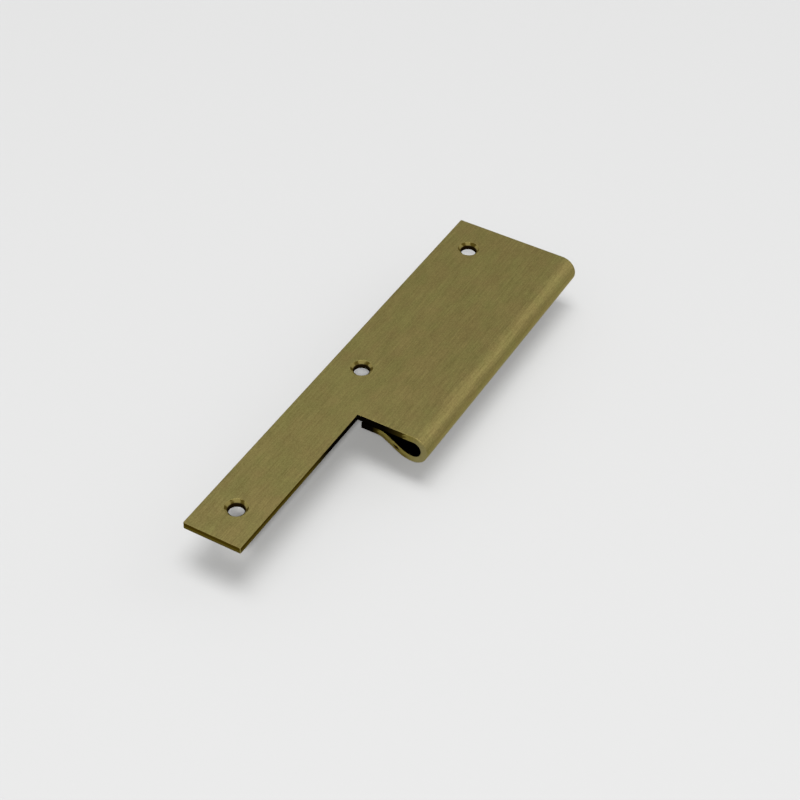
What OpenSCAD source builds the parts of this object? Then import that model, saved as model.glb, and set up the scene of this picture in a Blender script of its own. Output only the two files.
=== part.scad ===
// Cabinet handle folded from one sheet of brass. A flat mounting strip with three countersunk
// screw holes runs along the whole length. Beyond the notch the sheet keeps its full width, and
// its far edge is rolled under into a teardrop hem, which is what the fingers pull.
// The origin lies on the mounting face, on the axis of the middle screw hole. +Y runs along the
// strip towards the full-width end, +X across to the hem, and +Z out of the countersunk face.

/* [Sheet] */
// Thickness of the sheet
sheet_t = 2; // [1.5:0.1:3]

/* [Plate] */
// Length of the handle, end to end
overall_l = 150; // [136:1:300]
// Width of the handle, from the mounting edge to the outside of the roll
overall_w = 39.3; // [37:0.1:60]
// Width of the mounting strip, which also lies on the edge of the board
strip_w = 17.5; // [14:0.5:20]
// Length of the full-width part, along which the hem runs
grip_l = 92; // [20:1:140]

/* [Teardrop hem] */
// Inside radius of the roll
roll_r = 2.5; // [1.6:0.1:3.3]
// Inside radius of the wider bend that carries the sheet on from under the roll
belly_r = 6.5; // [2.5:0.5:10]
// Angle at which the flap climbs back to the plate
flap_angle = 32; // [24:1:44]
// Inside radius of the bend that lays the lip flat again
knee_r = 4; // [1:0.5:8]
// Gap between the lip and the underside of the plate
lip_gap = 0.35; // [0.1:0.05:1]
// Distance from the line of the strip's inner side to the free end of the lip
lip_setback = 1.2; // [0:0.1:4]

/* [Screw holes] */
// Distance from one screw hole to the next
hole_pitch = 63.5; // [30:0.5:70]
// Diameter of the screw holes
hole_d = 4.4; // [3:0.1:5.5]
// Diameter of the countersinks at the top face
sink_d = 6.4; // [6:0.1:8]
// Angle across the countersinks
sink_angle = 90; // [80:1:120]

/* [Hidden] */
$fn = 128;
brass = [0.50, 0.46, 0.29];

// The mounting edge and the back end, seen from the middle screw hole
edge_x = -strip_w / 2;
back_y = overall_l / 2;
// Flat length of the plate, up to where the roll begins
plate_w = overall_w - sheet_t - roll_r;
// Straight length of the flap, which is what is left of the climb after both bends
climb = 2 * roll_r - lip_gap;
bend_climb = (belly_r + sheet_t + knee_r) * (1 - cos(flap_angle));
flap_l = (climb - bend_climb) / sin(flap_angle);
// Flat length of the lip, from the end of the knee to its free end
flap_reach = (belly_r + sheet_t + knee_r) * sin(flap_angle) + flap_l * cos(flap_angle);
lip_l = plate_w - flap_reach - strip_w - lip_setback;
// Depth of the countersinks, and how far the drill stands clear of both faces
sink_depth = (sink_d - hole_d) / 2 / tan(sink_angle / 2);
drill_clear = 1;
// How far a bend's arcs lie outside its flats' faces
hair = 0.0002;

// A flat stretch of the sheet's section, with what follows it at its end. The section always
// runs along +X from here, with the underside of the sheet on the X axis.
module flat(l) {
    square([l, sheet_t]);
    translate([l, 0]) children();
}

// What lies under a face of the sheet, between two places along it
module under(face_y, from_x, to_x) {
    depth = to_x - from_x + face_y;
    translate([from_x, face_y - depth]) square([to_x - from_x, depth]);
}

// A bend of the section towards its underside, with what follows it at its end. Both arcs are
// turned a hair wider than the faces that they join, so that they run out into them cleanly.
module bend(inside_r, angle) {
    outside_r = inside_r + sheet_t;
    reach = 2 * outside_r;
    translate([0, -inside_r]) {
        difference() {
            intersection() {
                circle(outside_r + hair);
                under(outside_r, 0, reach);
                rotate(-angle) under(outside_r, -reach, 0);
            }
            intersection() {
                circle(inside_r + hair);
                under(inside_r, -reach, reach);
                rotate(-angle) under(inside_r, -reach, reach);
            }
        }
        rotate(-angle) translate([0, inside_r]) children();
    }
}

// A bend the other way, towards the upper face
module bend_back(inside_r, angle) {
    translate([0, sheet_t]) mirror([0, 1]) bend(inside_r, angle) children();
}

// The section across the full-width part: out along the plate, round the roll, on round the
// belly, up the flap and over the knee to the lip
module hem_section() {
    flat(plate_w)
        bend(roll_r, 180)
            bend(belly_r, flap_angle)
                flat(flap_l)
                    bend_back(knee_r, flap_angle)
                        flat(lip_l);
}

// What a countersunk screw hole takes out of the sheet
module screw_hole() {
    translate([0, 0, -drill_clear])
        cylinder(d = hole_d, h = sheet_t + 2 * drill_clear);
    translate([0, 0, sheet_t - sink_depth])
        cylinder(d1 = hole_d, d2 = sink_d, h = sink_depth);
    translate([0, 0, sheet_t])
        cylinder(d = sink_d, h = drill_clear);
}

module handle() {
    color(brass) difference() {
        union() {
            translate([edge_x, -back_y, 0])
                cube([strip_w, overall_l, sheet_t]);
            translate([edge_x, back_y, 0]) rotate([90, 0, 0])
                linear_extrude(grip_l) hem_section();
        }
        for (step = [-1:1])
            translate([0, step * hole_pitch, 0]) screw_hole();
    }
}

handle();
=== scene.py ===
import math

import bmesh
import bpy
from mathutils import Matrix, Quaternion, Vector


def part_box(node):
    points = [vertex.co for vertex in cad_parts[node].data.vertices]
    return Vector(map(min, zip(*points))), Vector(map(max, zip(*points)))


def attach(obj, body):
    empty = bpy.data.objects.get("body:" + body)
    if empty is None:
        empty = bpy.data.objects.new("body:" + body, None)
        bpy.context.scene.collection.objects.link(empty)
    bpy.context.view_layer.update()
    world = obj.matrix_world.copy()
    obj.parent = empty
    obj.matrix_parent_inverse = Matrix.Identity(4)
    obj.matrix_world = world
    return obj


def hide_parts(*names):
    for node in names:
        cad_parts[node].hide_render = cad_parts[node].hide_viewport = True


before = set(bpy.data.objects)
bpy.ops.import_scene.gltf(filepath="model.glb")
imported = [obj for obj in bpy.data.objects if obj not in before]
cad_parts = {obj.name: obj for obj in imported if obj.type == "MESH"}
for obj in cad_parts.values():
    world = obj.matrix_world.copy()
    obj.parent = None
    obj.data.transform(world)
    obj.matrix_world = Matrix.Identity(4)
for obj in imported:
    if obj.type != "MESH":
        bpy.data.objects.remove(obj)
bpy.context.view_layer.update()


# The handle is one blank of 2 mm brass sheet. A long strip is left to screw to the edge of the
# door, and past a notch the sheet keeps its full width, whose far side is folded under into a
# teardrop hem. Here the blank is laid out flat, its edges are broken, and then it is folded.
mm = 0.001
sheet_t = 2.0 * mm
strip_w = 17.5 * mm
grip_l = 92.0 * mm
roll_r = 2.5 * mm
belly_r = 6.5 * mm
knee_r = 4.0 * mm
flap_angle = math.radians(32.0)
lip_gap = 0.35 * mm
lip_setback = 1.2 * mm

# Two places closer than this are the same place
hair = 0.001 * mm

handle_low, handle_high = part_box("handle")
edge_x = handle_low.x
front_y, back_y = handle_low.y, handle_high.y
notch_y = back_y - grip_l
plate_w = handle_high.x - edge_x - sheet_t - roll_r

# What is left for the straight flap and for the lip once the bends have taken their part
bends_r = belly_r + sheet_t + knee_r
climb = 2.0 * roll_r - lip_gap
flap_l = (climb - bends_r * (1.0 - math.cos(flap_angle))) / math.sin(flap_angle)
flap_reach = bends_r * math.sin(flap_angle) + flap_l * math.cos(flap_angle)
lip_l = plate_w - flap_reach - strip_w - lip_setback

# The folds in their order from the plate outwards: the length of a flat, or the inside radius
# and the angle of a bend, which is below zero where the sheet turns towards its underside
folds = [
    ("flat", plate_w, 0.0),
    ("bend", roll_r, -math.pi),
    ("bend", belly_r, -flap_angle),
    ("flat", flap_l, 0.0),
    ("bend", knee_r, flap_angle),
    ("flat", lip_l, 0.0),
]


def middle_r(inside_r):
    """Radius of the middle of the sheet in a bend."""
    return inside_r + sheet_t / 2.0


def blank_length(kind, size, angle):
    """How much of the flat blank a flat or a bend takes up."""
    return abs(angle) * middle_r(size) if kind == "bend" else size


def along_folds(across):
    """Place of the middle of the sheet, and the way its upper face looks, so far across the blank."""
    place = Vector((edge_x, 0.0, sheet_t / 2.0))
    heading = 0.0
    left = across
    for number, (kind, size, angle) in enumerate(folds):
        taken = blank_length(kind, size, angle)
        last = number == len(folds) - 1
        part = left if last else min(left, taken)
        ahead = Vector((math.cos(heading), 0.0, math.sin(heading)))
        upper = Vector((-math.sin(heading), 0.0, math.cos(heading)))
        if kind == "flat":
            place = place + ahead * part
        else:
            radius = math.copysign(middle_r(size), angle)
            centre = place + upper * radius
            heading += part / radius
            upper = Vector((-math.sin(heading), 0.0, math.cos(heading)))
            place = centre - upper * radius
        left -= part
        if left <= 0.0:
            break
    return place, upper


# Lines across the blank where the sheet bends, close enough for a smooth fold
bend_step = math.radians(4.0)
fold_lines = []
blank_w = 0.0
for kind, size, angle in folds:
    taken = blank_length(kind, size, angle)
    steps = max(1, round(abs(angle) / bend_step))
    fold_lines += [blank_w + taken * step / steps for step in range(1, steps + 1)]
    blank_w += taken

# The three screw holes, drilled through and countersunk from the upper face. Each of them sits
# in the middle of a square patch of the blank.
hole_pitch = 63.5 * mm
hole_r = 2.2 * mm
sink_r = 3.2 * mm
sink_depth = 1.0 * mm
hole_sides = 96
hole_across = strip_w / 2.0
holes = [step * hole_pitch for step in (-1, 0, 1)]
patch_half = 5.0 * mm
patch_ends = [y + side * patch_half for y in holes for side in (-1, 1)]

# Both broad faces are a grid of these lines, and the holes are in its second column
across_lines = [0.0, hole_across - patch_half, hole_across + patch_half, strip_w] + fold_lines
along_lines = sorted([front_y, notch_y, back_y] + patch_ends)
hole_column = 1


def ring(blank, y, radius, height):
    """A ring of points round one screw hole."""
    turns = [2.0 * math.pi * (side + 0.5) / hole_sides for side in range(hole_sides)]
    return [
        blank.verts.new((hole_across + radius * math.cos(a), y + radius * math.sin(a), height))
        for a in turns
    ]


def patch_faces(blank, corners, inner):
    """Four faces between the square patch round a hole and the rim of the hole."""
    # The first side of the patch is its front one, which faces the rim from 225 to 315 degrees
    quarter = hole_sides // 4
    front = 2 * quarter + quarter // 2
    for side in range(4):
        start = front + side * quarter
        rim = [inner[(start + step) % hole_sides] for step in range(quarter + 1)]
        blank.faces.new([corners[side], corners[(side + 1) % 4]] + rim[::-1])


def broad_face(blank, height, rim_r):
    """One broad face of the flat blank, with its points and the rims of its holes."""
    points = {
        (i, j): blank.verts.new((across, along, height))
        for i, across in enumerate(across_lines)
        for j, along in enumerate(along_lines)
        if across <= strip_w + hair or along >= notch_y - hair
    }
    rims = []
    for i in range(len(across_lines) - 1):
        for j in range(len(along_lines) - 1):
            corners = [(i, j), (i + 1, j), (i + 1, j + 1), (i, j + 1)]
            if any(corner not in points for corner in corners):
                continue
            middle = (along_lines[j] + along_lines[j + 1]) / 2.0
            drilled = [y for y in holes if i == hole_column and abs(y - middle) < hair]
            square = [points[corner] for corner in corners]
            if drilled:
                rims.append(ring(blank, drilled[0], rim_r, height))
                patch_faces(blank, square, rims[-1])
            else:
                blank.faces.new(square)
    return points, rims


def join_rings(blank, upper, lower):
    """The wall between two rings of a hole."""
    for side in range(hole_sides):
        after = (side + 1) % hole_sides
        blank.faces.new([upper[side], upper[after], lower[after], lower[side]])


blank = bmesh.new()
top, top_rims = broad_face(blank, sheet_t, sink_r)
laid_points = set(top.values())
outline = [e for e in blank.edges if e.is_boundary and laid_points.issuperset(e.verts)]
under, under_rims = broad_face(blank, 0.0, hole_r)
below = {top[key]: under[key] for key in top}
for edge in outline:
    a, b = edge.verts
    blank.faces.new([a, b, below[b], below[a]])
for y, top_rim, under_rim in zip(holes, top_rims, under_rims):
    throat = ring(blank, y, hole_r, sheet_t - sink_depth)
    join_rings(blank, top_rim, throat)
    join_rings(blank, throat, under_rim)
bmesh.ops.recalc_face_normals(blank, faces=blank.faces[:])

# The upright corners at both ends of the blank are rounded, and then all its sharp edges are
# broken, so that each one catches a thin line of light
corner_r = 0.35 * mm
edge_break = 0.08 * mm
square_corner = math.radians(80.0)
sharp_edge = math.radians(30.0)
most_of_t = 0.9 * sheet_t
ends = (front_y, back_y)


def round_off(blank, edges, radius, segments):
    """Rounds some edges of the blank."""
    bmesh.ops.bevel(
        blank, geom=edges, offset=radius, segments=segments, profile=0.5, affect="EDGES"
    )


uprights = [e for e in blank.edges if e.calc_face_angle(0.0) > square_corner]
uprights = [e for e in uprights if abs(e.verts[0].co.z - e.verts[1].co.z) > most_of_t]
uprights = [e for e in uprights if min(abs(e.verts[0].co.y - y) for y in ends) < hair]
round_off(blank, uprights, corner_r, segments=4)
sharp = [e for e in blank.edges if e.calc_face_angle(0.0) > sharp_edge]
round_off(blank, sharp, edge_break, segments=2)

# What the blank says of each point is kept for the finish: across, along and up, in millimetres
laid_out = [Vector(v.co) / mm for v in blank.verts]

# The four finishes, and the slopes that tell them apart, from 0 for a wall to 1 for a level face.
# The rounded corners look partly along and partly across.
brushed, cut, drilled, countersunk = range(4)
level = 0.9
half_level = 0.5
sloping = 0.4
partly = 0.3


def finish_of(face):
    """Which finish a face gets. The rounded corners are brushed with the broad faces."""
    middle = face.calc_center_median()
    in_hole = any(math.hypot(middle.x - hole_across, middle.y - y) < sink_r for y in holes)
    if in_hole and abs(face.normal.z) < level:
        return countersunk if face.normal.z > sloping else drilled
    at_end = min(abs(middle.y - y) for y in ends) < corner_r
    at_corner = at_end and min(abs(face.normal.x), abs(face.normal.y)) > partly
    return brushed if at_corner or abs(face.normal.z) > half_level else cut


finishes = [finish_of(face) for face in blank.faces]
for v in blank.verts:
    middle, upper = along_folds(v.co.x)
    place = middle + upper * (v.co.z - sheet_t / 2.0)
    v.co = (place.x, v.co.y, place.z)

sheet_mesh = bpy.data.meshes.new("folded_sheet")
blank.to_mesh(sheet_mesh)
blank.free()
laid = sheet_mesh.attributes.new("blank", "FLOAT_VECTOR", "POINT")
laid.data.foreach_set("vector", [c for p in laid_out for c in p])
sheet_mesh.polygons.foreach_set("material_index", finishes)
sheet_mesh.polygons.foreach_set("use_smooth", [True] * len(sheet_mesh.polygons))
sheet = bpy.data.objects.new("folded_sheet", sheet_mesh)
bpy.context.scene.collection.objects.link(sheet)
even = sheet.modifiers.new("even_shine", "WEIGHTED_NORMAL")
even.mode = "FACE_AREA"
even.weight = 50

# The finish is drawn over the flat blank, in millimetres, so that the grain runs on round the
# hem. Most of a noise's values lie in noise_span.
noise_span = (0.3, 0.7)
rising = (0.0, 1.0)
falling = (1.0, 0.0)


def grain(tree, spot, stretch, detail):
    """Noise over the flat blank, drawn out by so many millimetres across, along and up."""
    drawn = tree.nodes.new("ShaderNodeVectorMath")
    drawn.operation = "DIVIDE"
    drawn.inputs[1].default_value = stretch
    tree.links.new(spot, drawn.inputs[0])
    noise = tree.nodes.new("ShaderNodeTexNoise")
    noise.inputs["Scale"].default_value = 1.0
    noise.inputs["Detail"].default_value = detail
    tree.links.new(drawn.outputs[0], noise.inputs["Vector"])
    return noise.outputs["Fac"]


def ranged(tree, value, span, reach, shape="LINEAR"):
    """A value taken from one range to another, and held at its ends."""
    mapped = tree.nodes.new("ShaderNodeMapRange")
    mapped.interpolation_type = shape
    mapped.inputs["From Min"].default_value = span[0]
    mapped.inputs["From Max"].default_value = span[1]
    mapped.inputs["To Min"].default_value = reach[0]
    mapped.inputs["To Max"].default_value = reach[1]
    tree.links.new(value, mapped.inputs["Value"])
    return mapped.outputs["Result"]


def worked(tree, operation, value, other=0.0):
    """Two values put together, of which the second may be a plain number."""
    maths = tree.nodes.new("ShaderNodeMath")
    maths.operation = operation
    tree.links.new(value, maths.inputs[0])
    if isinstance(other, float):
        maths.inputs[1].default_value = other
    else:
        tree.links.new(other, maths.inputs[1])
    return maths.outputs[0]


def distance(tree, value, place):
    """How far a value is from a place, either way."""
    return worked(tree, "ABSOLUTE", worked(tree, "SUBTRACT", value, place))


def blended(tree, share, first, second):
    """A colour between two colours, either of which may come from other nodes."""
    mix = tree.nodes.new("ShaderNodeMix")
    mix.data_type = "RGBA"
    tree.links.new(share, mix.inputs["Factor"])
    for name, colour in (("A", first), ("B", second)):
        socket = next(i for i in mix.inputs if i.name == name and i.type == "RGBA")
        if isinstance(colour, tuple):
            socket.default_value = (*colour, 1.0)
        else:
            tree.links.new(colour, socket)
    return next(o for o in mix.outputs if o.type == "RGBA")


def new_finish(name):
    """The sheet's next finish, with its shader and each point's place on the flat blank."""
    finish = bpy.data.materials.new(name)
    finish.use_nodes = True
    sheet_mesh.materials.append(finish)
    laid_place = finish.node_tree.nodes.new("ShaderNodeAttribute")
    laid_place.attribute_name = "blank"
    return finish.node_tree, finish.node_tree.nodes["Principled BSDF"], laid_place.outputs["Vector"]


def parts_of(tree, spot):
    """The three parts of a place on the flat blank: across, along and up."""
    parts = tree.nodes.new("ShaderNodeSeparateXYZ")
    tree.links.new(spot, parts.inputs[0])
    return parts.outputs


# Both broad faces are an olive brass, brushed dry along their length with a fine belt
scratch_size = (0.15, 2.2, 0.15)
line_size = (0.34, 10.0, 0.34)
speck_size = (0.30, 0.45, 0.30)
cloud_size = (7.0, 11.0, 7.0)
line_tone = (0.06, 0.42)
speck_tone = (0.0, 0.44)
cloud_tone = (0.0, 0.14)
tree, shader, spot = new_finish("brushed_olive_brass")
shader.inputs["Metallic"].default_value = 1.0
shader.inputs["Specular Tint"].default_value = (1.0, 0.93, 0.60, 1.0)
scratches = grain(tree, spot, scratch_size, detail=2.0)
lines = grain(tree, spot, line_size, detail=1.0)
specks = grain(tree, spot, speck_size, detail=1.0)
clouds = grain(tree, spot, cloud_size, detail=2.0)
tone = ranged(tree, lines, noise_span, line_tone)
tone = worked(tree, "ADD", tone, ranged(tree, specks, noise_span, speck_tone))
tone = worked(tree, "ADD", tone, ranged(tree, clouds, noise_span, cloud_tone))

# Handling has left it a little browner in some patches and greener in others
patch_size = (5.0, 8.0, 5.0)
patch_span = (0.35, 0.65)
patches = ranged(tree, grain(tree, spot, patch_size, detail=3.0), patch_span, rising)
dark_olive = blended(tree, patches, (0.138, 0.108, 0.038), (0.131, 0.113, 0.037))
light_olive = blended(tree, patches, (0.260, 0.211, 0.079), (0.248, 0.220, 0.077))
olive = blended(tree, tone, dark_olive, light_olive)

# The inside of the hem is painted near black, as painted shade for the dark hollow of the fold
inside_span = (19.0, 26.0)
underside_span = (0.2, 0.4)
painted_hem_shade = (0.004, 0.003, 0.001)
across, _, up = parts_of(tree, spot)
inside = ranged(tree, across, inside_span, rising, "SMOOTHSTEP")
underside = ranged(tree, up, underside_span, falling)
base_colour = blended(tree, worked(tree, "MULTIPLY", inside, underside), olive, painted_hem_shade)
tree.links.new(base_colour, shader.inputs["Base Color"])

# The scratches of the belt make it duller in places and catch the light
dullness = (0.38, 0.48)
scratch_depth = 0.04 * mm
tree.links.new(ranged(tree, scratches, noise_span, dullness), shader.inputs["Roughness"])
bump = tree.nodes.new("ShaderNodeBump")
bump.inputs["Strength"].default_value = 0.2
bump.inputs["Distance"].default_value = scratch_depth
tree.links.new(scratches, bump.inputs["Height"])
tree.links.new(bump.outputs["Normal"], shader.inputs["Normal"])

# The cut faces are a dark olive, darker in their upper half than in their lower one
drag_size = (0.15, 0.15, 1.0)
half_span = (0.85, 1.15)
tree, shader, spot = new_finish("cut_brass")
across, along, up = parts_of(tree, spot)
drag = grain(tree, spot, drag_size, detail=2.0)
upper_half = ranged(tree, up, half_span, rising)
lower_olive = blended(tree, drag, (0.044, 0.032, 0.0036), (0.062, 0.046, 0.0070))
upper_olive = blended(tree, drag, (0.023, 0.014, 0.0006), (0.037, 0.024, 0.0013))
olive = blended(tree, upper_half, lower_olive, upper_olive)

# Painted shade round the inner corner of the notch, on the cut faces there: black up to the corner,
# and turning brown towards the end of the hem.
corner_shade_span = (14.4, 26.4)
strip_side_span = (strip_w / mm - 1.5, strip_w / mm - 1.0)
brown_span = (25.0, 31.9)
brown_curve = 2.0
lip_span = (57.5, 59.5)
corner_shade_black = (0.0012, 0.0008, 0.0003)
corner_shade_brown = (0.024, 0.017, 0.0024)
corner_shade = ranged(tree, distance(tree, along, notch_y / mm), corner_shade_span, falling, "SMOOTHSTEP")
corner_shade = worked(tree, "MULTIPLY", corner_shade, ranged(tree, across, strip_side_span, rising))
browned = worked(tree, "POWER", ranged(tree, across, brown_span, rising), brown_curve)
browned = worked(tree, "MULTIPLY", browned, ranged(tree, across, lip_span, falling))
corner_shade_colour = blended(tree, browned, corner_shade_black, corner_shade_brown)

# The end of the hem is bright brass, where the painted shade of the notch corner stops. It is pale
# round the roll, and more golden down the flap, whose upper half is painted darker as shade.
flap_shade_span = (44.0, 48.0)
roll_middle = 41.0
pale_span = (3.0, 7.0)
pale_gold = blended(tree, drag, (0.180, 0.155, 0.055), (0.290, 0.252, 0.100))
inner_gold = blended(tree, drag, (0.150, 0.121, 0.024), (0.250, 0.207, 0.046))
shaded_gold = blended(tree, drag, (0.092, 0.070, 0.010), (0.170, 0.136, 0.024))
flap_shade = worked(tree, "MULTIPLY", upper_half, ranged(tree, across, flap_shade_span, rising))
gold = blended(tree, flap_shade, inner_gold, shaded_gold)
off_roll = ranged(tree, distance(tree, across, roll_middle), pale_span, rising)
gold = blended(tree, off_roll, pale_gold, gold)

# The flap is stained brown in places
stain_size = (0.9, 0.9, 0.5)
stain_span = (0.56, 0.70)
stain_reach = (0.0, 0.6)
flap_span = (49.0, 54.0)
stains = ranged(tree, grain(tree, spot, stain_size, detail=1.0), stain_span, stain_reach)
stains = worked(tree, "MULTIPLY", stains, ranged(tree, across, flap_span, rising))
gold = blended(tree, stains, gold, (0.070, 0.038, 0.008))

# One small dark brown mark is left on the flap. It is longer than it is high.
mark_across = 51.2
mark_up = 0.95
mark_squash = 2.6
mark_span = (0.9, 1.8)
off_mark = worked(tree, "MULTIPLY", distance(tree, up, mark_up), mark_squash)
off_mark = worked(tree, "ADD", off_mark, distance(tree, across, mark_across))
mark = ranged(tree, off_mark, mark_span, falling, "SMOOTHSTEP")
mark = worked(tree, "MULTIPLY", mark, corner_shade)
gold = blended(tree, mark, gold, (0.008, 0.0035, 0.0008))

# The bright brass reaches so far either way from the middle of the hem, with a ragged edge, beyond
# which the painted corner shade lies
hem_middle = 44.8
gold_zone_span = (11.7, 13.5)
ragged_size = (1.3, 1.3, 0.6)
ragged_reach = (-0.6, 0.6)
ragged = ranged(tree, grain(tree, spot, ragged_size, detail=1.0), noise_span, ragged_reach)
from_hem = worked(tree, "ADD", distance(tree, across, hem_middle), ragged)
gold_zone = ranged(tree, from_hem, gold_zone_span, falling, "SMOOTHSTEP")
# The painted corner shade lies over the olive, and the bright brass of the hem end over both
base_colour = blended(tree, corner_shade, olive, corner_shade_colour)
base_colour = blended(tree, gold_zone, base_colour, gold)
tree.links.new(base_colour, shader.inputs["Base Color"])
bare = worked(tree, "MULTIPLY", gold_zone, ranged(tree, mark, rising, falling))
tree.links.new(bare, shader.inputs["Metallic"])
shader.inputs["Roughness"].default_value = 0.45
shader.inputs["Specular IOR Level"].default_value = 0.0

# The walls of the holes are painted near black, as painted shade for the dark inside of each hole
wall_drag_size = (0.3, 0.3, 0.1)
tree, shader, spot = new_finish("drilled_brass")
drag = grain(tree, spot, wall_drag_size, detail=2.0)
base_colour = blended(tree, drag, (0.001, 0.0005, 0.0002), (0.010, 0.006, 0.0008))
tree.links.new(base_colour, shader.inputs["Base Color"])
shader.inputs["Roughness"].default_value = 0.5
shader.inputs["Specular IOR Level"].default_value = 0.0

# The countersinks were cut with some chatter, whose light and shade is painted: six darker facets
# round each of them, and an inner rim painted near black as shade, like the wall below it
facet_count = 6.0
first_facet = math.radians(28.0)
facet_span = (-0.4, 0.9)
chatter_size = (1.4, 1.4, 1.4)
chatter_reach = (-0.9, 0.9)
rim_shade_span = (1.15, 1.40)
half_pitch = hole_pitch / mm / 2.0
tree, shader, spot = new_finish("countersunk_brass")
across, along, up = parts_of(tree, spot)
hole_y = worked(tree, "WRAP", along, half_pitch)
hole_y.node.inputs[2].default_value = -half_pitch
hole_x = worked(tree, "SUBTRACT", across, hole_across / mm)
turn = worked(tree, "MULTIPLY", worked(tree, "ARCTAN2", hole_y, hole_x), facet_count)
turn = worked(tree, "SUBTRACT", turn, facet_count * first_facet)
chatter = ranged(tree, grain(tree, spot, chatter_size, detail=1.0), noise_span, chatter_reach)
facet_shade = worked(tree, "ADD", worked(tree, "COSINE", turn), chatter)
facet_shade = ranged(tree, facet_shade, facet_span, rising, "SMOOTHSTEP")
base_colour = blended(tree, facet_shade, (0.105, 0.086, 0.028), (0.036, 0.026, 0.0045))
rim_shade = ranged(tree, up, rim_shade_span, falling, "SMOOTHSTEP")
base_colour = blended(tree, rim_shade, base_colour, (0.004, 0.002, 0.0006))
tree.links.new(base_colour, shader.inputs["Base Color"])
shader.inputs["Roughness"].default_value = 0.5
shader.inputs["Specular IOR Level"].default_value = 0.0

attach(sheet, "root")
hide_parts("handle")


# The ground is one wide sheet of matt pale paper, laid flat. It lies a little below the handle,
# which is held clear of it, so that its shadow is soft and stands off from its edges.
floor_drop = 15.0 * mm
floor_half = 3.0
sides = ((-1, -1), (1, -1), (1, 1), (-1, 1))
floor_points = [(x * floor_half, y * floor_half, -floor_drop) for x, y in sides]
floor_mesh = bpy.data.meshes.new("paper_ground")
floor_mesh.from_pydata(floor_points, [], [(0, 1, 2, 3)])
floor = bpy.data.objects.new("paper_ground", floor_mesh)
bpy.context.scene.collection.objects.link(floor)
paper = bpy.data.materials.new("pale_paper")
paper.use_nodes = True
shader = paper.node_tree.nodes["Principled BSDF"]
shader.inputs["Base Color"].default_value = (0.34, 0.34, 0.34, 1.0)
shader.inputs["Roughness"].default_value = 0.9
shader.inputs["Specular IOR Level"].default_value = 0.1
floor_mesh.materials.append(paper)


# Soft studio light: a large soft box overhead with a dimmer one beside it, a small far lamp behind
# the camera, a dim panel at the back on the side of the hem, a low one there, and light all round.
def lamp(name, place, size, power):
    """A round soft box that looks at the handle."""
    box = bpy.data.lights.new(name, "AREA")
    box.shape = "DISK"
    box.size = size
    box.energy = power
    lit = bpy.data.objects.new(name, box)
    bpy.context.scene.collection.objects.link(lit)
    lit.location = place
    lit.rotation_mode = "QUATERNION"
    lit.rotation_quaternion = (-Vector(place)).to_track_quat("-Z", "Y")


lamp("overhead", place=(0.236, -0.184, 2.482), size=1.32, power=53.7)
lamp("overhead_left", place=(-0.553, 0.050, 2.438), size=0.88, power=12.3)
lamp("beyond_the_camera", place=(1.734, -3.252, 3.380), size=0.52, power=255.0)
lamp("back_right", place=(1.267, 1.633, 1.407), size=1.62, power=5.9)
lamp("low_right", place=(1.889, 1.511, 0.630), size=1.25, power=2.9)
sky = bpy.data.worlds.new("studio")
sky.use_nodes = True
sky.node_tree.nodes["Background"].inputs["Color"].default_value = (1.0, 1.0, 1.0, 1.0)
sky.node_tree.nodes["Background"].inputs["Strength"].default_value = 0.65
bpy.context.scene.world = sky


# The camera stands off the front end of the strip, on the side of the hem, and looks down on the
# handle through a long lens. It was held a little off level, so the view is rolled by a hair.
camera_place = Vector((0.19358, -0.33952, 0.34863))
camera_aim = Vector((0.01467, -0.00401, 0.0))
camera_roll = math.radians(2.30)
camera_lens = 84.15
camera_sensor = 36.0
camera = bpy.data.objects.new("camera", bpy.data.cameras.new("camera"))
bpy.context.scene.collection.objects.link(camera)
camera.data.lens = camera_lens
camera.data.sensor_width = camera_sensor
camera.location = camera_place
camera.rotation_mode = "QUATERNION"
looking = (camera_aim - camera_place).to_track_quat("-Z", "Y")
camera.rotation_quaternion = looking @ Quaternion((0.0, 0.0, 1.0), camera_roll)
bpy.context.scene.camera = camera
bpy.context.scene.view_settings.view_transform = "Standard"
